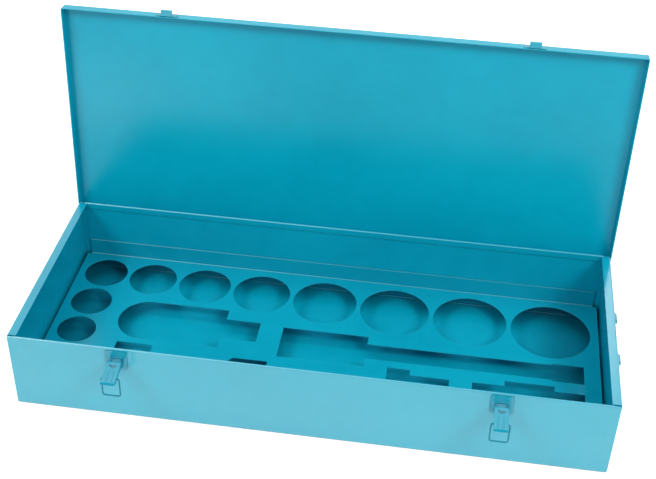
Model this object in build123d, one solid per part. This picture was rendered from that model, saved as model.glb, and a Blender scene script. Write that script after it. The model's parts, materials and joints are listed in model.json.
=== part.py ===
from build123d import *
import os
from math import sin, cos, radians

# Long steel case for a set of large sockets and their bars, drawn as it stands in use:
# lid open against its stop, latch levers pulled out, wire loops and end handles hanging.
# Millimetres. Origin at the middle of the underside, +X along the length, +Y to the hinges.

# Tub, one wrapped sheet with hemmed top edges
case_length = 770.0
case_depth = 305.0
case_height = 116.0
sheet = 1.2
wrap_bend = 3.0
hem_drop = 9.0
hem_gap = 0.4
hem_flat = 0.04
wrap_corner = 4.0

# Folded end panels that close the wrapped sheet
end_proud = 1.2
end_top_flange = 11.9
end_side_flange = 8.0
end_floor_flange = 12.0
panel_bend = 2.2
corner_relief = 0.6
flange_side_gap = 0.8

# Pocket plate, a channel whose flanges stand up against the front and rear walls
plate_height = 24.5
plate_flange = 25.7
plate_end_gap = 4.2
plate_flange_gap = 3.0

# Round pockets: a row whose rear edges line up and a column whose left edges line up
row_diameters = (63.2, 70.0, 76.5, 83.5, 92.7, 99.6, 105.2, 112.0)
column_diameters = (58.6, 54.2)
row_web = 5.5
column_web = 6.0
row_rear_margin = 13.5
column_left_margin = 13.6

# Shaped pockets, from the middle of the plate
ratchet_left, ratchet_shoulder, ratchet_right = -293.4, -141.7, -92.4
ratchet_middle, ratchet_width, ratchet_neck = 11.6, 80.8, 41.2
bar_left, bar_shoulder, bar_collar, bar_right = -59.3, 61.6, 316.5, 358.8
bar_middle, bar_head_width, bar_width, bar_collar_width = -2.3, 61.6, 30.4, 35.4
tool_front = -108.0
tool_body_rear = -62.0
left_tool = (-281.8, -231.0, -125.5, -117.0, -69.3)
left_tool_rear, left_tool_step_rear, left_tool_slant_rear = -38.5, -45.0, -54.7
mid_tool = (93.2, 124.7, 177.9)
mid_tool_rear, mid_tool_step_rear = -29.3, -40.0
right_tool = (208.7, 251.8, 318.8, 358.8)
right_tool_rear, right_tool_step_rear = -29.5, -39.5

# Lid, a welded tray whose rim passes outside the tub
lid_gap = 1.2
lid_rear_gap = 3.0
lid_seat = 0.3
lid_rim = 15.0
lid_bend = 2.2
lid_open = 94.0

# Three butt hinges on the rear wall
hinge_from_end = 115.0
hinge_length = 60.0
hinge_offset = 3.2
hinge_above_rim = 2.9
hinge_pin = 2.5
hinge_sheet = 1.2
hinge_play = 0.05
hinge_knuckles = 5
hinge_knuckle_gap = 0.4
hinge_leaf_reach = 17.0
hinge_lid_reach = 9.5
hinge_clear = 0.6
hinge_pin_head = 0.8

# Draw latches, at the same places as the keepers on the lid
latch_from_end = 142.0
latch_base_width = 28.5
latch_base_top = 3.0
latch_base_tall = 31.0
latch_base_sheet = 0.8
latch_base_corner = 5.0
pivot_drop = 18.5
pivot_offset = 8.8
pivot_pin = 3.0
pivot_head = 4.8
pivot_play = 0.05
lever_width = 17.8
lever_sheet = 1.0
lever_round = 4.2
lever_length = 36.0
lever_lip = 5.0
lever_lip_out = 2.4
lever_end_deep = 4.6
lever_face_above = 0.8
lever_out = 78.0
lever_side_gap = 0.3
moon_drop = 3.4
moon_radius = 5.4
rib_width = 2.2
rib_height = 0.5
rib_round = 0.4
rib_spacing = 6.6
rib_top, rib_bottom = 12.5, 29.0
bracket_sheet = 1.0
bracket_bend = 1.5
bracket_foot = 12.0
sleeve_outer = 3.6
sleeve_bore = 2.1
sleeve_play = 0.05
loop_wire = 2.0
loop_width = 25.0
loop_length = 29.0
loop_pivot_reach = 21.5
loop_corner = 3.6
loop_end_bend = 2.0
loop_end_depth = 3.4
keeper_width = 28.0
keeper_tall = 10.0
keeper_sheet = 1.0
keeper_bend = 1.5
keeper_tab = 15.4
keeper_seat_gap = 0.3
keeper_lip_gap = 0.4
keeper_lip_rise = 2.6

# Drop handles on the end panels
handle_rod = 5.0
handle_drop = 22.0
handle_offset = 3.1
handle_reach = 34.0
handle_width = 108.0
handle_bend = 5.0
handle_corner = 8.0
handle_stub = 22.0
clip_bend_gap = 0.5
clip_width = 14.0
clip_sheet = 1.5
clip_play = 0.08
clip_tall = 16.0

# Places worked out from the sizes above
half_length = case_length / 2
hinge_places = (hinge_from_end - half_length, 0.0, half_length - hinge_from_end)
latch_places = {"left": latch_from_end - half_length, "right": half_length - latch_from_end}
half_depth = case_depth / 2
inner_depth = half_depth - sheet
panel_face = half_length + end_proud
front_wall = -half_depth
lid_top = case_height + lid_seat + sheet
rim_edge = lid_top - lid_rim
axis_y = half_depth + hinge_offset
axis_z = rim_edge + hinge_above_rim
knuckle_bore = hinge_pin / 2 + hinge_play
knuckle_outer = knuckle_bore + hinge_sheet
pivot_y = front_wall - pivot_offset
pivot_z = case_height - pivot_drop
handle_z = case_height - handle_drop
clip_place = handle_width / 2 - handle_bend - clip_bend_gap - clip_width / 2
hinge_axis = Axis((0, axis_y, axis_z), (1, 0, 0))


def folded(points, radii, thickness):
    """Section of a bent sheet: its outer face follows the points, the metal lies to their left."""
    line = FilletPolyline(*points, radius=radii)
    return make_face(offset(line, amount=thickness, side=Side.LEFT, closed=True))


def along_x(section, start, end):
    """A section drawn in Y and Z, run from one X to another."""
    return extrude(Plane.YZ.offset(start) * section, end - start)


def along_y(section, start, end):
    """A section drawn in X and Z, run from one Y to another."""
    plane = Plane(origin=(0, start, 0), x_dir=(1, 0, 0), z_dir=(0, -1, 0))
    return extrude(plane * section, start - end)


def along_z(section, start, end):
    """A section drawn in X and Y, run from one height to another."""
    return extrude(Plane.XY.offset(start) * section, end - start)


def block(x0, x1, y0, y1, z0, z1):
    """A box between two values on each axis, for cutting."""
    return Pos((x0 + x1) / 2, (y0 + y1) / 2, (z0 + z1) / 2) * Box(x1 - x0, y1 - y0, z1 - z0)


def rectangle(x0, x1, y0, y1):
    """A flat rectangle between two values on each axis."""
    return Pos((x0 + x1) / 2, (y0 + y1) / 2) * Rectangle(x1 - x0, y1 - y0)


def tub_shell():
    """Front wall, floor and rear wall in one sheet, with both top edges hemmed inwards."""
    hem_round = sheet + (hem_gap - hem_flat) / 2
    leaf = half_depth - 2 * sheet - hem_gap
    points = [
        (-leaf, case_height - hem_drop), (-leaf, case_height), (-half_depth, case_height),
        (-half_depth, 0), (half_depth, 0),
        (half_depth, case_height), (leaf, case_height), (leaf, case_height - hem_drop),
    ]
    radii = [hem_round, hem_round, wrap_bend, wrap_bend, hem_round, hem_round]
    shell = along_x(folded(points, radii, sheet), -half_length, half_length)
    # the folded leaf stops short of the ends, where the end panels' side flanges stand
    leaf_end = panel_face - end_side_flange - flange_side_gap
    floor_of_cut = case_height - hem_drop - sheet
    for side in (-1, 1):
        for end in (-1, 1):
            x0, x1 = sorted((end * leaf_end, end * (half_length + sheet)))
            y0, y1 = sorted((side * inner_depth, side * (leaf - sheet)))
            shell -= block(x0, x1, y0, y1, floor_of_cut, case_height + sheet)
    # the sheet's bottom corners are ground round
    outline = rectangle(-half_length, half_length, 0, case_height)
    outline = fillet(outline.vertices().sort_by(Axis.Y)[:2], wrap_corner)
    return shell & along_y(outline, half_depth + sheet, -half_depth - sheet)


def end_panel():
    """The right-hand end: one sheet with a flange folded inwards along each of its four edges."""
    reach = inner_depth - panel_bend - corner_relief
    upright = folded(
        [(panel_face - end_floor_flange, sheet), (panel_face, sheet),
         (panel_face, case_height), (panel_face - end_top_flange, case_height)],
        [panel_bend, panel_bend], sheet,
    )
    sides = folded(
        [(panel_face - end_side_flange, -inner_depth), (panel_face, -inner_depth),
         (panel_face, inner_depth), (panel_face - end_side_flange, inner_depth)],
        [panel_bend, panel_bend], sheet,
    )
    low = sheet + panel_bend + corner_relief
    high = case_height - panel_bend - corner_relief
    return along_y(upright, -reach, reach) + along_z(sides, low, high)


def round_pockets():
    """The row of sockets from small to large, and the column that shares its first one."""
    left = -panel_face + sheet + column_left_margin
    rear = inner_depth - row_rear_margin
    holes = []
    x = left
    for diameter in row_diameters:
        holes.append((x + diameter / 2, rear - diameter / 2, diameter))
        x += diameter + row_web
    y = rear - row_diameters[0]
    for diameter in column_diameters:
        y -= column_web
        holes.append((left + diameter / 2, y - diameter / 2, diameter))
        y -= diameter
    return holes


def shaped_pockets():
    """Outlines of the ratchet, the long bar and the three tools along the front."""
    radius = ratchet_width / 2
    ratchet = Pos(ratchet_left + radius, ratchet_middle) * Circle(radius)
    ratchet += rectangle(ratchet_left + radius, ratchet_shoulder,
                         ratchet_middle - radius, ratchet_middle + radius)
    ratchet += rectangle(ratchet_shoulder - sheet, ratchet_right,
                         ratchet_middle - ratchet_neck / 2, ratchet_middle + ratchet_neck / 2)
    bar = Sketch()
    spans = ((bar_left, bar_shoulder, bar_head_width), (bar_shoulder - sheet, bar_collar, bar_width),
             (bar_collar - sheet, bar_right, bar_collar_width))
    for x0, x1, width in spans:
        bar += rectangle(x0, x1, bar_middle - width / 2, bar_middle + width / 2)
    a0, a1, slant, b0, b1 = left_tool
    left = make_face(Polyline(
        (a0, tool_front), (a0, left_tool_rear), (a1, left_tool_rear), (a1, tool_body_rear),
        (slant, tool_body_rear), (slant, left_tool_slant_rear), (b0, left_tool_step_rear),
        (b1, left_tool_step_rear), (b1, tool_front), close=True))
    c0, c1, c2 = mid_tool
    middle = make_face(Polyline(
        (c0, tool_front), (c0, mid_tool_rear), (c1, mid_tool_rear), (c1, mid_tool_step_rear),
        (c2, mid_tool_step_rear), (c2, tool_front), close=True))
    d0, d1, d2, d3 = right_tool
    right = make_face(Polyline(
        (d0, tool_front), (d0, right_tool_step_rear), (d1, right_tool_step_rear),
        (d1, right_tool_rear), (d2, right_tool_rear), (d2, right_tool_step_rear),
        (d3, right_tool_step_rear), (d3, tool_front), close=True))
    return [ratchet, bar, left, middle, right]


def insert_plate():
    """The pocket plate with every pocket cut through it."""
    under = plate_height - sheet
    top = plate_height + plate_flange
    section = folded(
        [(-inner_depth, top), (-inner_depth, under), (inner_depth, under), (inner_depth, top)],
        [panel_bend, panel_bend], sheet,
    )
    flange_end = panel_face - end_side_flange - plate_flange_gap
    plate_end = panel_face - sheet - plate_end_gap
    reach = inner_depth - panel_bend - corner_relief
    plate = along_x(section, -flange_end, flange_end)
    plate += block(-plate_end, plate_end, -reach, reach, under, plate_height)
    outlines = [Pos(x, y) * Circle(diameter / 2) for x, y, diameter in round_pockets()]
    for outline in outlines + shaped_pockets():
        plate -= along_z(outline, under - sheet, plate_height + sheet)
    return plate


def lid_closed():
    """The lid as it lies shut: a tray with closed corners, notched at the hinges."""
    half_x = panel_face + lid_gap + sheet
    front = -(half_depth + lid_gap + sheet)
    rear = half_depth + lid_rear_gap + sheet
    width, depth, middle = 2 * half_x, rear - front, (front + rear) / 2
    outer = Pos(0, middle, 0) * along_z(RectangleRounded(width, depth, lid_bend), rim_edge, lid_top)
    outer = fillet(outer.faces().sort_by(Axis.Z)[-1].edges(), lid_bend)
    inner_bend = lid_bend - sheet
    hollow = RectangleRounded(width - 2 * sheet, depth - 2 * sheet, inner_bend)
    inner = Pos(0, middle, 0) * along_z(hollow, rim_edge - sheet, lid_top - sheet)
    inner = fillet(inner.faces().sort_by(Axis.Z)[-1].edges(), inner_bend)
    lid = outer - inner
    notch_top = axis_z + knuckle_outer + hinge_clear
    for place in hinge_places:
        half = hinge_length / 2 + hinge_pin_head + hinge_clear
        lid -= block(place - half, place + half, rear - 3 * sheet, rear + sheet,
                     rim_edge - sheet, notch_top)
    return lid


def opened(piece):
    """Turned from shut to the open pose about the hinge axis."""
    return piece.rotate(hinge_axis, -lid_open)


def knuckle_spans(place, of_lid):
    """Start and end of each knuckle of one leaf along a hinge."""
    pitch = hinge_length / hinge_knuckles
    first = place - hinge_length / 2
    for number in range(hinge_knuckles):
        if (number % 2 == 1) == of_lid:
            start = first + number * pitch
            yield start + hinge_knuckle_gap / 2, start + pitch - hinge_knuckle_gap / 2


def hinge_leaf(place, leaf_section, of_lid):
    """A leaf with its knuckles rolled round the pin."""
    ring = Pos(axis_y, axis_z) * Circle(knuckle_outer)
    bore = Pos(axis_y, axis_z) * Circle(knuckle_bore)
    clear_ring = Pos(axis_y, axis_z) * Circle(knuckle_outer + hinge_knuckle_gap)
    half = hinge_length / 2
    leaf = along_x(leaf_section - clear_ring, place - half, place + half)
    for start, end in knuckle_spans(place, of_lid):
        leaf += along_x(ring + leaf_section, start, end)
    return leaf - along_x(bore, place - half, place + half)


def wall_leaf(place):
    """The leaf welded to the rear wall, joggled out to its knuckles."""
    inside = axis_y - knuckle_outer
    joggle = axis_z - knuckle_outer - hinge_sheet
    points = [(half_depth, axis_z - hinge_leaf_reach), (half_depth, joggle - hinge_sheet),
              (inside, joggle), (inside, axis_z)]
    line = Polyline(*points)
    section = make_face(offset(line, amount=hinge_sheet, side=Side.RIGHT, closed=True))
    return hinge_leaf(place, section, False)


def lid_leaf(place):
    """The leaf welded to the outside of the lid's rear rim."""
    face = half_depth + lid_rear_gap + sheet
    section = rectangle(face, face + hinge_sheet, axis_z + knuckle_bore / 2, axis_z + hinge_lid_reach)
    return opened(hinge_leaf(place, section, True))


def hinge_pin_at(place):
    """The pin through the five knuckles, headed at both ends."""
    half = hinge_length / 2
    shaft = Pos(axis_y, axis_z) * Circle(hinge_pin / 2)
    head = Pos(axis_y, axis_z) * Circle(knuckle_outer - hinge_sheet / 2)
    pin = along_x(shaft, place - half, place + half)
    pin += along_x(head, place - half - hinge_pin_head, place - half)
    return pin + along_x(head, place + half, place + half + hinge_pin_head)


def keeper(x):
    """The hook on the lid's front rim that a wire loop pulls on."""
    face = front_wall - lid_gap - sheet
    seat = pivot_z + loop_length - loop_pivot_reach - loop_wire / 2 - keeper_seat_gap
    low = seat - keeper_sheet
    lip = pivot_y - loop_wire / 2 - keeper_lip_gap - keeper_sheet
    hook = folded([(lip, seat + keeper_lip_rise), (lip, low), (face, low), (face, low + keeper_tall)],
                  [keeper_bend, keeper_bend], keeper_sheet)
    plate = along_x(rectangle(face - keeper_sheet, face, low + keeper_bend, low + keeper_tall),
                    -keeper_width / 2, keeper_width / 2)
    plate = fillet(plate.edges().filter_by(Axis.Y), keeper_bend)
    plate += along_x(hook, -keeper_tab / 2, keeper_tab / 2)
    return opened(Pos(x, 0, 0) * plate)


def latch_base(x):
    """The plate welded to the front wall, thin enough to pass under the shut lid's rim."""
    top = case_height - latch_base_top
    outline = rectangle(-latch_base_width / 2, latch_base_width / 2, top - latch_base_tall, top)
    corners = outline.vertices().sort_by(Axis.Y)
    outline = fillet(corners[:2], latch_base_corner)
    upper = outline.vertices().sort_by(Axis.Y)[-2:]
    outline = fillet(upper, latch_base_corner / 2)
    return Pos(x, 0, 0) * along_y(outline, front_wall - latch_base_sheet, front_wall)


def pivot_bracket(x):
    """A small channel on the base whose two ears carry the lever's pivot pin."""
    half = lever_width / 2 - lever_sheet - lever_side_gap
    back = front_wall - latch_base_sheet
    tip = lever_round - lever_sheet - lever_side_gap
    out = pivot_y - lever_round
    channel = folded([(half, out), (half, back), (-half, back), (-half, out)],
                     [bracket_bend, bracket_bend], bracket_sheet)
    ear = make_face(Polyline((back, pivot_z + tip), (pivot_y, pivot_z + tip), (pivot_y, pivot_z - tip),
                             (back, pivot_z - bracket_foot), close=True))
    ear += Pos(pivot_y, pivot_z) * Circle(tip)
    bracket = along_z(channel, pivot_z - bracket_foot, pivot_z + tip) & along_x(ear, -half, half)
    hole = Pos(pivot_y, pivot_z) * Circle(pivot_pin / 2 + pivot_play)
    return Pos(x, 0, 0) * (bracket - along_x(hole, -lever_width, lever_width))


def pivot_pin_at(x):
    """The lever's pin, headed outside the lever's flanges."""
    half = lever_width / 2 + lever_side_gap / 2
    head = half + lever_sheet - lever_side_gap / 2
    pin = along_x(Pos(pivot_y, pivot_z) * Circle(pivot_pin / 2), -head, head)
    for side in (-1, 1):
        x0, x1 = sorted((side * half, side * head))
        pin += along_x(Pos(pivot_y, pivot_z) * Circle(pivot_head / 2), x0, x1)
    return Pos(x, 0, 0) * pin


def lever_turned(piece, x):
    """From flat against the base to pulled out, about the pivot pin."""
    axis = Axis((x, pivot_y, pivot_z), (1, 0, 0))
    return (Pos(x, 0, 0) * piece).rotate(axis, -lever_out)


def latch_lever(x):
    """A pressed channel with a half-moon opening, two ribs and a turned-out finger lip."""
    half = lever_width / 2
    inside = half - lever_sheet
    face = pivot_y - lever_round
    far = case_depth
    lip_z = pivot_z - lever_length + lever_lip
    end_z = pivot_z - lever_length
    side = make_face(Polyline((face, pivot_z), (face, lip_z), (face + lever_end_deep, lip_z),
                              (pivot_y + lever_round, pivot_z), close=True))
    side += Pos(pivot_y, pivot_z) * Circle(lever_round)
    lever = along_x(side, -half, half)
    lever -= block(-inside, inside, face + lever_sheet, far, end_z, case_height)
    lever -= block(-inside, inside, -far, far, pivot_z + lever_face_above, case_height)
    lip = make_face(Polyline((face, lip_z), (face - lever_lip_out, end_z),
                             (face - lever_lip_out + lever_sheet, end_z), (face + lever_sheet, lip_z),
                             close=True))
    lever += along_x(lip, -half, half)
    moon = Pos(0, pivot_z - moon_drop) * Circle(moon_radius)
    moon -= rectangle(-half, half, pivot_z - moon_drop, case_height)
    lever -= along_y(moon, face - lever_sheet, face + 2 * lever_sheet)
    for side_x in (-rib_spacing / 2, rib_spacing / 2):
        middle = pivot_z - (rib_top + rib_bottom) / 2
        outline = Pos(side_x, middle) * Rot(0, 0, 90) * SlotOverall(rib_bottom - rib_top, rib_width)
        rib = along_y(outline, face - rib_height, face + lever_sheet / 2)
        lever += fillet(rib.faces().sort_by(Axis.Y)[0].edges(), rib_round)
    holes = Pos(pivot_y, pivot_z) * Circle(pivot_pin / 2 + pivot_play)
    holes += Pos(pivot_y, pivot_z - loop_pivot_reach) * Circle(sleeve_outer / 2 + sleeve_play)
    lever -= along_x(holes, -lever_width, lever_width)
    return lever_turned(lever, x)


def loop_pivot():
    """Where a loop hangs from its lever in the open pose: its Y and Z."""
    swing = radians(lever_out)
    return pivot_y - loop_pivot_reach * sin(swing), pivot_z - loop_pivot_reach * cos(swing)


def loop_sleeve(x):
    """The tube through the lever that takes the two ends of the wire loop."""
    y, z = loop_pivot()
    ring = Pos(y, z) * (Circle(sleeve_outer / 2) - Circle(sleeve_bore / 2))
    return Pos(x, 0, 0) * along_x(ring, -lever_width / 2, lever_width / 2)


def bent_rod(points, radii, thickness):
    """A round rod along straight runs joined by bends."""
    path = FilletPolyline(*points, radius=radii)
    start = Vector(*points[0])
    along = Vector(*points[1]) - start
    section = Plane(origin=start, z_dir=along) * Circle(thickness / 2)
    return sweep(section, path=path)


def wire_loop(x):
    """The loop that reaches from the lever to the keeper, hanging from its sleeve."""
    y, z = loop_pivot()
    side = (loop_width - loop_wire) / 2
    end = lever_width / 2 - loop_end_depth
    points = [(x - end, y, z), (x - side, y, z), (x - side, y, z - loop_length),
              (x + side, y, z - loop_length), (x + side, y, z), (x + end, y, z)]
    return bent_rod(points, [loop_end_bend, loop_corner, loop_corner, loop_end_bend], loop_wire)


def drop_handle():
    """The right-hand handle: a rod bent to a grip, with its ends turned in to the clips."""
    x = panel_face + handle_offset
    side = handle_width / 2
    low = handle_z - handle_reach
    end = side - handle_stub
    points = [(x, -end, handle_z), (x, -side, handle_z), (x, -side, low),
              (x, side, low), (x, side, handle_z), (x, end, handle_z)]
    return bent_rod(points, [handle_bend, handle_corner, handle_corner, handle_bend], handle_rod)


def handle_clip(place):
    """A strap over one end of the right-hand handle, welded to the end panel."""
    x = panel_face + handle_offset
    bore = handle_rod / 2 + clip_play
    outer = bore + clip_sheet
    half = clip_tall / 2
    strap = rectangle(panel_face, panel_face + clip_sheet, handle_z - half, handle_z + half)
    strap += rectangle(panel_face, x, handle_z - outer, handle_z + outer)
    strap += Pos(x, handle_z) * Circle(outer)
    strap -= rectangle(panel_face, x, handle_z - bore, handle_z + bore)
    strap -= Pos(x, handle_z) * Circle(bore)
    clip = along_y(strap, place - clip_width / 2, place + clip_width / 2)
    outline = Pos(place, handle_z) * RectangleRounded(clip_width, clip_tall, 2 * clip_sheet)
    return clip & along_x(outline, panel_face, x + 2 * outer)


def to_left(piece):
    """A right-hand end piece turned into the left-hand one."""
    return mirror(piece, about=Plane.YZ)


def case_parts():
    """Every piece by name."""
    parts = {"tub_shell": tub_shell(), "insert_plate": insert_plate()}
    ends = {"end_panel": end_panel(), "handle": drop_handle(),
            "handle_clip_front": handle_clip(-clip_place), "handle_clip_rear": handle_clip(clip_place)}
    for name, piece in ends.items():
        parts[name + "_right"] = piece
        parts[name + "_left"] = to_left(piece)
    parts["lid_shell"] = opened(lid_closed())
    for name, place in zip(("left", "middle", "right"), hinge_places):
        parts["hinge_wall_leaf_" + name] = wall_leaf(place)
        parts["hinge_lid_leaf_" + name] = lid_leaf(place)
        parts["hinge_pin_" + name] = hinge_pin_at(place)
    for name, place in latch_places.items():
        parts["keeper_" + name] = keeper(place)
        parts["latch_base_" + name] = latch_base(place)
        parts["latch_bracket_" + name] = pivot_bracket(place)
        parts["latch_pivot_pin_" + name] = pivot_pin_at(place)
        parts["latch_lever_" + name] = latch_lever(place)
        parts["loop_sleeve_" + name] = loop_sleeve(place)
        parts["wire_loop_" + name] = wire_loop(place)
    return parts


os.makedirs("parts", exist_ok=True)
for part_name, solid in case_parts().items():
    export_step(solid, "parts/" + part_name + ".step")
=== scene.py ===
import json
from math import cos, radians, sin
import bpy
from mathutils import Matrix, Vector


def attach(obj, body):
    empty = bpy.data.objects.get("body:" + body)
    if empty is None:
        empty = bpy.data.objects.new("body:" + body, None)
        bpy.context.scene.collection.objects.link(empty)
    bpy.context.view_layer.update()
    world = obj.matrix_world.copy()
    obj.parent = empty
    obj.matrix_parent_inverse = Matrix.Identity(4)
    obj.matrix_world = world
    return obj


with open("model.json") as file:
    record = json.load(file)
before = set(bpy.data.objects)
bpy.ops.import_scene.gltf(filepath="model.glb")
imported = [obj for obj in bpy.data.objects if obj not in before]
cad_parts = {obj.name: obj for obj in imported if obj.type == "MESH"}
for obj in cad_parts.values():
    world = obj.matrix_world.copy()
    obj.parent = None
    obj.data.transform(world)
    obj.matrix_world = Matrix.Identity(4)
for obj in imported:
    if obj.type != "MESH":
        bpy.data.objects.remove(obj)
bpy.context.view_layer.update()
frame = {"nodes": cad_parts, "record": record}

print("tool case: frame loaded, nodes", len(frame["nodes"]))


# Camera, set from the corners of the case in the photograph

photoView = {
    "lens": 64.82,
    "sensor": 36,                         # mm wide
    "turn": 7.07,                         # degrees round the case, from straight in front
    "rise": 36.62,                        # degrees up
    "tilt": 1.72,                         # the photograph's own lean
    "away": 1.7461,                       # metres from the point looked at
    "lookAt": (-0.01825, 0.17433, 0.077),
}


def setCamera(view):
    turn, rise, tilt = (radians(view[name]) for name in ("turn", "rise", "tilt"))
    back = Vector((sin(turn) * cos(rise), -cos(turn) * cos(rise), sin(rise)))
    side = (-back).cross(Vector((0, 0, 1))).normalized()
    up = side.cross(-back)
    leanSide = cos(tilt) * side + sin(tilt) * up
    leanUp = cos(tilt) * up - sin(tilt) * side
    bpy.ops.object.camera_add()
    camera = bpy.context.object
    camera.name = "photoCamera"
    camera.data.lens = view["lens"]
    camera.data.sensor_width = view["sensor"]
    place = Matrix((leanSide, leanUp, back)).transposed().to_4x4()
    place.translation = Vector(view["lookAt"]) + view["away"] * back
    camera.matrix_world = place
    bpy.context.scene.camera = camera


setCamera(photoView)
print("tool case: camera set")


# Shader helpers

class Signal:
    # one socket of a node, so that shader maths is written as sums
    def __init__(self, sheet, socket):
        self.sheet = sheet
        self.socket = socket

    def __add__(self, other):
        return self.sheet.maths("ADD", self, other)

    def __radd__(self, other):
        return self.sheet.maths("ADD", other, self)

    def __sub__(self, other):
        return self.sheet.maths("SUBTRACT", self, other)

    def __rsub__(self, other):
        return self.sheet.maths("SUBTRACT", other, self)

    def __mul__(self, other):
        return self.sheet.maths("MULTIPLY", self, other)

    def __rmul__(self, other):
        return self.sheet.maths("MULTIPLY", other, self)

    def __abs__(self):
        return self.sheet.maths("ABSOLUTE", self)


class NodeSheet:
    # the node tree of one material or world
    def __init__(self, tree):
        self.tree = tree
        tree.nodes.clear()

    def feed(self, socket, value):
        if isinstance(value, Signal):
            self.tree.links.new(value.socket, socket)
        else:
            socket.default_value = value

    def node(self, kind, settings=None, *inputs, out=0, **named):
        made = self.tree.nodes.new(kind)
        for name, value in (settings or {}).items():
            setattr(made, name, value)
        for number, value in enumerate(inputs):
            self.feed(made.inputs[number], value)
        for name, value in named.items():
            self.feed(made.inputs[name.replace("_", " ")], value)
        return Signal(self, made.outputs[out]) if made.outputs else made

    def maths(self, operation, *values):
        return self.node("ShaderNodeMath", {"operation": operation}, *values)

    def largest(self, signals):
        most, *others = signals
        for signal in others:
            most = self.maths("MAXIMUM", most, signal)
        return most

    def dot(self, first, second):
        settings = {"operation": "DOT_PRODUCT"}
        return self.node("ShaderNodeVectorMath", settings, first, second, out=1)

    def ramp(self, value, low, high, bottom=0.0, top=1.0):
        # bottom up to low, top from high on
        limits = (value, low, high, bottom, top)
        return self.node("ShaderNodeMapRange", {"clamp": True}, *limits)

    def blend(self, factor, first, second):
        made = self.tree.nodes.new("ShaderNodeMix")
        made.data_type = "RGBA"
        self.feed(made.inputs["Factor"], factor)
        self.feed(made.inputs[6], first)  # a mix of colours has its own sockets, 6, 7 and 2
        self.feed(made.inputs[7], second)
        return Signal(self, made.outputs[2])

    def noise(self, where, scale, detail, roughness):
        return self.node("ShaderNodeTexNoise", {}, Vector=where, Scale=scale,
                         Detail=detail, Roughness=roughness)

    def openness(self, reach, samples):
        # one where nothing lies within reach, less in a corner
        settings = {"samples": samples}
        return self.node("ShaderNodeAmbientOcclusion", settings, Distance=reach, out=1)

    def objectPlace(self):
        return self.node("ShaderNodeTexCoord", out=3)

    def axes(self, place):
        made = self.tree.nodes.new("ShaderNodeSeparateXYZ")
        self.feed(made.inputs[0], place)
        return [Signal(self, socket) for socket in made.outputs]


# Inner and outer faces of the case and of its open lid

faceLook = {
    "caseSkin": (0.3853, 0.1519, 0.1135),  # beyond these a surface is on the case's outside
    "creep": 0.0006,                      # how far the powder creeps round an edge
    "lidCreep": 0.0003,
    "lidLean": 4.0,                       # degrees that the open lid leans back
    "lidMargin": 0.0006,                  # how far inside its outermost points the lid's skin ends
    "hem": 0.001,                         # height in which the outer wall turns into the hem
}


def lidSkin(look):
    # the directions that face out of the open lid, and how far out its outer faces lie in each
    lean = radians(look["lidLean"])
    ways = [Vector((0, cos(lean), -sin(lean))), Vector((0, sin(lean), cos(lean))),
            Vector((0, -sin(lean), -cos(lean))), Vector((1, 0, 0)), Vector((-1, 0, 0))]
    points = [vertex.co for vertex in frame["nodes"]["lid_shell"].data.vertices]
    return [(tuple(way), max(point.dot(way) for point in points) - look["lidMargin"])
            for way in ways]


def lidOutside(sheet, place, look):
    return sheet.largest([sheet.ramp(sheet.dot(place, way), skin, skin + look["lidCreep"])
                          for way, skin in lidSkin(look)])


def caseOutside(sheet, place, look):
    across, along, up = sheet.axes(place)
    sides = zip((abs(across), abs(along), up), look["caseSkin"])
    return sheet.largest([sheet.ramp(side, skin, skin + look["creep"]) for side, skin in sides])


# Painted light on the sheets: outer walls painted lighter, and painted highlights along hems and
# bends

paintedLightLook = {
    # outer faces painted lighter, standing in for the light they catch
    "outerLitTone": (0.000, 0.520, 0.640, 1),
    "outerLitPart": 0.32,                    # how much of this painted light the outer walls take on
    "lidOuterLitPart": 0.16,
    "crestHighlightTone": (0.16, 0.60, 0.72, 1),   # painted highlight along hems and bends
    "hemTop": (0.1147, 0.1157),           # the hem's crest, by its height and depth
    "hemSide": (0.1490, 0.1496),
    "hemFade": (0.20, -0.25, 0.20, 0.85),  # the painted highlight grows paler towards the left
    "plateBend": (0.1485, 0.1491),        # the plate's rear bend, by its depth
    "bendTop": (0.0252, 0.0260),
    "flangeTop": (0.0488, 0.0494),
    "bendFade": (0.10, -0.30, 0.35, 0.80),
}


def outerWall(sheet, up, outside):
    top = faceLook["caseSkin"][2]
    return outside * sheet.ramp(up, top, top - faceLook["hem"])


def hemHighlight(sheet, axes, look):
    across, along, up = axes
    height = sheet.ramp(up, *look["hemTop"]) * sheet.ramp(across, *look["hemFade"])
    return height * sheet.ramp(abs(along), *look["hemSide"])


def bendHighlight(sheet, axes, look):
    # painted highlight on the plate's rear bend, and on the top of the flange beyond it
    across, along, up = axes
    bend = sheet.ramp(along, *look["plateBend"]) * sheet.ramp(across, *look["bendFade"])
    return bend * (1 - sheet.ramp(up, *look["bendTop"]) + sheet.ramp(up, *look["flangeTop"]))


def layPaintedLight(sheet, slot, axes, outside, colour, look):
    # painted light: lighter outer faces, and painted highlights on hems and bends
    if slot == "lid_paint":
        colour = sheet.blend(look["lidOuterLitPart"] * outside, colour, look["outerLitTone"])
    if slot == "case_paint":
        wall = outerWall(sheet, axes[2], outside)
        colour = sheet.blend(look["outerLitPart"] * wall, colour, look["outerLitTone"])
        colour = sheet.blend(hemHighlight(sheet, axes, look), colour, look["crestHighlightTone"])
    if slot == "plate_paint":
        colour = sheet.blend(bendHighlight(sheet, axes, look), colour, look["crestHighlightTone"])
    return colour


# Painted shade in corners and deep inside the case, where little light reaches

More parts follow.
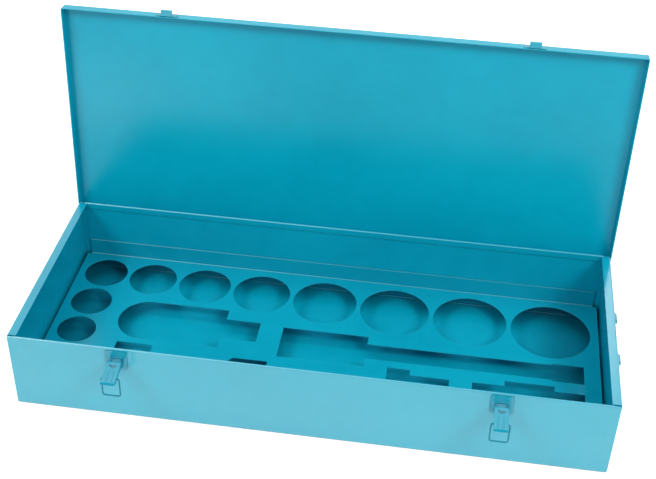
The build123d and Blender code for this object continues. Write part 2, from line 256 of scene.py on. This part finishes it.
shadeLook = {
    "tone": (0.000, 0.115, 0.180, 1),
    "corner": 0.004,                      # reach of the painted shade in corners
    "cornerSamples": 6,
    "cornerFrom": (0.88, 0.30),
    "cornerPart": 0.85,
    "plateUnder": (0.030, 0.024),         # from these heights down a face is under the plate
    "underPart": 0.08,
    "shelter": 0.045,                     # reach of the painted shade under the plate
    "shelterSamples": 8,
    "shelterFrom": (0.8, 0.25, 0.0, 0.55),
    "endsFrom": (0.25, 0.34, 0.0, 0.45),  # painted shade, darker towards both ends, but not on their panels
    "endsTo": (0.380, 0.382, 0.0, 0.45),
    # painted shade on the inner faces of the end panels, deeper on the right
    "rightPanel": (0.3838, 0.3845, 0.0, 0.20),
    "leftPanel": (-0.3838, -0.3845, 0.0, 0.10),
    "most": 0.95,
}


def paintedInnerShade(sheet, axes, outside, look):
    # painted shade under the plate, towards both ends and on the end panels' inner faces
    across, up = axes[0], axes[2]
    inside = 1 - outside
    fromMiddle = abs(across)
    ends = sheet.ramp(fromMiddle, *look["endsFrom"]) - sheet.ramp(fromMiddle, *look["endsTo"])
    openUnder = sheet.openness(look["shelter"], look["shelterSamples"])
    sheltered = sheet.ramp(openUnder, *look["shelterFrom"])
    under = inside * sheet.ramp(up, *look["plateUnder"])
    panels = sheet.ramp(across, *look["rightPanel"]) + sheet.ramp(across, *look["leftPanel"])
    dark = under * (look["underPart"] + ends + sheltered) + inside * panels
    return sheet.maths("MINIMUM", dark, look["most"])


# Powder coat, the one finish of the whole case

coatLook = {
    "deep": (0.000, 0.335, 0.475, 1),     # the paint where it lies thick
    "pale": (0.001, 0.385, 0.530, 1),     # and where it lies thin
    "drift": (6.0, 3.0, 0.5),             # unevenness: waves per metre, detail, roughness
    "cloud": (42.0, 4.0, 0.6),
    "grain": (3200.0, 1.0, 0.5),
    "peel": (900.0, 2.0, 0.4),            # orange peel
    "thinDrift": 0.5,                     # how much each has to do with thin paint
    "thinCloud": 0.3,
    "thinGrain": 0.2,
    "thinFrom": (0.38, 0.62),
    "peelDepth": 0.00006,
    "peelGrain": 0.35,
    "seedShift": (1.0, 0.37, 0.71),
    "edgeWidth": 0.0012,
    "edgeSamples": 4,
    "edgeFrom": (0.995, 0.86),            # cosines of the angle by which an edge turns
    "edgeUneven": (0.3, 0.6, 0.35, 1.0),    # uneven, with the cloud
    "edgePart": 0.7,
    # the painted highlight's tone along bends and cut edges
    "paintedEdgeTone": (0.05, 0.50, 0.64, 1),
    "shineDrift": 0.12,
    "shineGrain": 0.05,
    "coatShine": 0.16,
    "coatIor": 1.9,
    "coatCorner": (0.3, 0.88, 0.4, 1.0),  # corners stay duller
}

coatKinds = {                             # coat is how glassy a sheet is, outside and inside
    # tone lightens or darkens the one teal paint per part, as painted light and shade for how each
    # is lit
    "case_paint": {"seed": 1.3, "gloss": 0.35, "coat": (0.60, 0.08), "tone": 1.08, "shine": 0.28},
    "lid_paint": {"seed": 4.1, "gloss": 0.20, "coat": (0.15, 0.03), "tone": 1.10, "shine": 0.20},
    "plate_paint": {"seed": 7.7, "gloss": 0.35, "coat": (0.12, 0.12), "tone": 1.00, "shine": 0.28},
    # on the hardware the edge line is a painted dark outline, and the painted corner shade is
    # weaker
    "hardware_paint": {"seed": 2.9, "gloss": 0.35, "coat": (0.32, 0.32), "tone": 0.98,
                       "shine": 0.28, "edge": (0.000, 0.170, 0.250, 1), "corner": 0.5},
    "wire_paint": {"seed": 3.6, "gloss": 0.22, "coat": (0.02, 0.02), "tone": 0.62, "shine": 0.34},
}


def shade(colour, tone):
    return tuple(tone * part for part in colour[:3]) + (1,)


def paintedEdge(sheet, cloud, look):
    # a painted line along bends and cut edges: a highlight in the pale edge tone, a dark outline
    # on the hardware
    settings = {"samples": look["edgeSamples"]}
    rounded = sheet.node("ShaderNodeBevel", settings, Radius=look["edgeWidth"])
    straight = sheet.node("ShaderNodeNewGeometry", out=1)
    turned = sheet.ramp(sheet.dot(rounded, straight), *look["edgeFrom"])
    return look["edgePart"] * turned * sheet.ramp(cloud, *look["edgeUneven"])


def powderCoat(slot, kind, look):
    material = bpy.data.materials.new(slot.replace("_paint", "Coat"))
    material.use_nodes = True
    sheet = NodeSheet(material.node_tree)
    place = sheet.objectPlace()
    axes = sheet.axes(place)
    shift = tuple(kind["seed"] * part for part in look["seedShift"])
    where = sheet.node("ShaderNodeMapping", {}, Vector=place, Location=shift)
    drift, cloud, grain, peel = (sheet.noise(where, *look[name])
                                 for name in ("drift", "cloud", "grain", "peel"))
    outside = (lidOutside if slot == "lid_paint" else caseOutside)(sheet, place, faceLook)
    # thick and thin paint, then painted highlights and outlines at edges, painted light on outer
    # walls, hems and bends, and painted shade in corners
    mixed = look["thinDrift"] * drift + look["thinCloud"] * cloud + look["thinGrain"] * grain
    thin = sheet.ramp(mixed, *look["thinFrom"])
    colour = sheet.blend(thin, *(shade(look[name], kind["tone"]) for name in ("deep", "pale")))
    paintedEdgeTone = kind.get("edge", look["paintedEdgeTone"])
    colour = sheet.blend(paintedEdge(sheet, cloud, look), colour, paintedEdgeTone)
    colour = layPaintedLight(sheet, slot, axes, outside, colour, paintedLightLook)
    # painted shade in corners
    openCorner = sheet.openness(shadeLook["corner"], shadeLook["cornerSamples"])
    cornerPart = kind.get("corner", shadeLook["cornerPart"])
    dark = sheet.ramp(openCorner, *shadeLook["cornerFrom"], 0.0, cornerPart)
    colour = sheet.blend(dark, colour, shadeLook["tone"])
    # painted shade deep inside the case
    if slot == "case_paint":
        dark = paintedInnerShade(sheet, axes, outside, shadeLook)
        colour = sheet.blend(dark, colour, shadeLook["tone"])
    shine = (kind["shine"] + look["shineDrift"] * (drift - 0.5)
             + look["shineGrain"] * (grain - 0.5))
    outerCoat, innerCoat = kind["coat"]
    glaze = (sheet.ramp(outside, 0.0, 1.0, innerCoat, outerCoat)
             * sheet.ramp(openCorner, *look["coatCorner"]))
    relief = sheet.node("ShaderNodeBump", {}, Strength=1.0, Distance=look["peelDepth"],
                        Height=peel + look["peelGrain"] * grain)
    paint = sheet.node("ShaderNodeBsdfPrincipled", {}, Base_Color=colour, Roughness=shine,
                       Normal=relief, Specular_IOR_Level=kind["gloss"], Coat_Weight=glaze,
                       Coat_IOR=look["coatIor"], Coat_Roughness=look["coatShine"])
    sheet.node("ShaderNodeOutputMaterial", {}, Surface=paint)
    return material


coats = {slot: powderCoat(slot, kind, coatLook) for slot, kind in coatKinds.items()}
slotOf = {part["node"]: part["material_slot"] for part in frame["record"]["subparts"]}
# the loops get a duller copy of the hardware paint, darker by painted shade
slotOf.update({name: "wire_paint" for name in slotOf if name.startswith("wire_loop")})
for name, node in frame["nodes"].items():
    if not node.material_slots:
        node.data.materials.append(coats[slotOf[name]])
    for holder in node.material_slots:
        holder.material = coats[slotOf[name]]
print("tool case: powder coat on", len(frame["nodes"]), "nodes")


# Weld beads, which close the small openings where three sheets meet

weldBead = {
    "radius": 0.0027,
    "across": 0.3833,                     # beads lie at plus and minus these
    "along": 0.1494,
    "up": 0.0030,
    "stretch": 1.1,                       # height over width
    "segments": 20,
    "rings": 12,
    "body": "case",
}


def layWelds(bead):
    for side, across in (("left", -bead["across"]), ("right", bead["across"])):
        for face, along in (("front", -bead["along"]), ("rear", bead["along"])):
            bpy.ops.object.select_all(action="DESELECT")
            bpy.ops.mesh.primitive_uv_sphere_add(segments=bead["segments"], radius=bead["radius"],
                                                 ring_count=bead["rings"])
            dab = bpy.context.object
            dab.name = "cornerWeld_" + side + "_" + face
            bpy.ops.object.mode_set(mode="EDIT")
            bpy.ops.mesh.select_all(action="SELECT")
            bpy.ops.transform.resize(value=(1, 1, bead["stretch"]), center_override=(0, 0, 0))
            bpy.ops.transform.translate(value=(across, along, bead["up"]))
            bpy.ops.object.mode_set(mode="OBJECT")
            bpy.ops.object.shade_smooth()
            dab.data.materials.append(coats["case_paint"])
            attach(dab, bead["body"])


layWelds(weldBead)
print("tool case: corner welds laid")


# Floor, light and background

floorLook = {
    "size": 14.0,
    "down": 0.0004,                       # just below the case, so that the two don't flicker
    "tone": (0.86, 0.87, 0.88, 1),
    "glow": 0.60,                         # seen by the camera and in reflections alone
    "whiteFrom": (0.9, 1.8),              # where the floor fades into the background
    "nearEdge": (-0.37, -0.31),           # in front of it, the lid mirrors the pools below
    "footGlow": 0.15,                     # more light at the foot of the front wall
    "footEdge": (-0.25, -0.18),
    "frontPool": 0.10,
    "leftPool": (-0.12, -0.62, 0.0, 3.2),
    "rightPool": (0.2, 0.6, 0.0, 0.9),
    "poolFade": (-0.80, -0.50, 0.25, 1.0),
}

lightLook = {
    "sky": 0.44,
    "lamps": {                            # size, watts, place, point aimed at
        "keyLight": ((0.9, 0.9), 33.0, (1.65, -1.25, 2.1), (0.0, 0.05, 0.1)),
        "fillLight": ((0.9, 0.9), 27.0, (-1.65, -1.25, 2.1), (0.0, 0.05, 0.1)),
        "stripLight": ((3.0, 0.25), 8.0, (0.0, 0.45, 2.3), (0.0, 0.0, 0.1)),
        "backLight": ((1.6, 0.8), 16.0, (0.0, 2.3, 1.9), (0.0, 0.1, 0.15)),
    },
}


def backgroundRays(sheet):
    # rays of the camera, and all rays that see a background: the camera's, mirrored, let through
    path = sheet.tree.nodes.new("ShaderNodeLightPath")
    rays = [Signal(sheet, path.outputs["Is " + name + " Ray"])
            for name in ("Camera", "Glossy", "Transmission")]
    return rays[0], sheet.largest(rays)


def floorStrength(sheet, camera, look):
    # the camera sees an even floor; the paint mirrors a floor that glows brighter and darker in
    # pools of painted light
    place = sheet.objectPlace()
    across, along = sheet.axes(place)[:2]
    sides = sheet.ramp(across, *look["leftPool"]) + sheet.ramp(across, *look["rightPool"])
    pool = look["frontPool"] + sheet.ramp(along, *look["poolFade"]) * sides
    near = sheet.ramp(along, *look["nearEdge"])
    foot = look["footGlow"] * sheet.ramp(along, *look["footEdge"])
    mirrored = near * (foot + look["glow"]) + (1 - near) * pool
    far = sheet.node("ShaderNodeVectorMath", {"operation": "LENGTH"}, place, out=1)
    plain = sheet.ramp(far, *look["whiteFrom"], look["glow"], 1.0)
    return camera * plain + (1 - camera) * mirrored


def layFloor(look):
    bpy.ops.object.select_all(action="DESELECT")
    bpy.ops.mesh.primitive_plane_add(size=look["size"], location=(0, 0, -look["down"]))
    floor = bpy.context.object
    floor.name = "studioFloor"
    bpy.ops.object.transform_apply(location=True, rotation=True, scale=True)
    material = bpy.data.materials.new("paleFloor")
    material.use_nodes = True
    sheet = NodeSheet(material.node_tree)
    camera, seen = backgroundRays(sheet)
    ground = sheet.node("ShaderNodeBsdfDiffuse", {}, Color=look["tone"])
    strength = seen * floorStrength(sheet, camera, look)
    glow = sheet.node("ShaderNodeEmission", {}, Color=(1, 1, 1, 1), Strength=strength)
    both = sheet.node("ShaderNodeAddShader", {}, ground, glow)
    sheet.node("ShaderNodeOutputMaterial", {}, Surface=both)
    floor.data.materials.append(material)


def lightStudio(look):
    world = bpy.data.worlds.new("studioSky")
    world.use_nodes = True
    bpy.context.scene.world = world
    sheet = NodeSheet(world.node_tree)
    seen = backgroundRays(sheet)[1]
    strength = sheet.ramp(seen, 0.0, 1.0, look["sky"], 1.0)
    sky = sheet.node("ShaderNodeBackground", {}, Color=(1, 1, 1, 1), Strength=strength)
    sheet.node("ShaderNodeOutputWorld", {}, Surface=sky)
    for name, (size, power, place, target) in look["lamps"].items():
        bpy.ops.object.light_add(type="AREA", location=place)
        lamp = bpy.context.object
        lamp.name = name
        lamp.data.shape = "RECTANGLE"
        lamp.data.size, lamp.data.size_y = size
        lamp.data.energy = power
        aim = Vector(target) - Vector(place)
        lamp.rotation_euler = aim.to_track_quat("-Z", "Y").to_euler()


layFloor(floorLook)
lightStudio(lightLook)
bpy.context.scene.view_settings.view_transform = "Standard"
print("tool case: floor and light set")
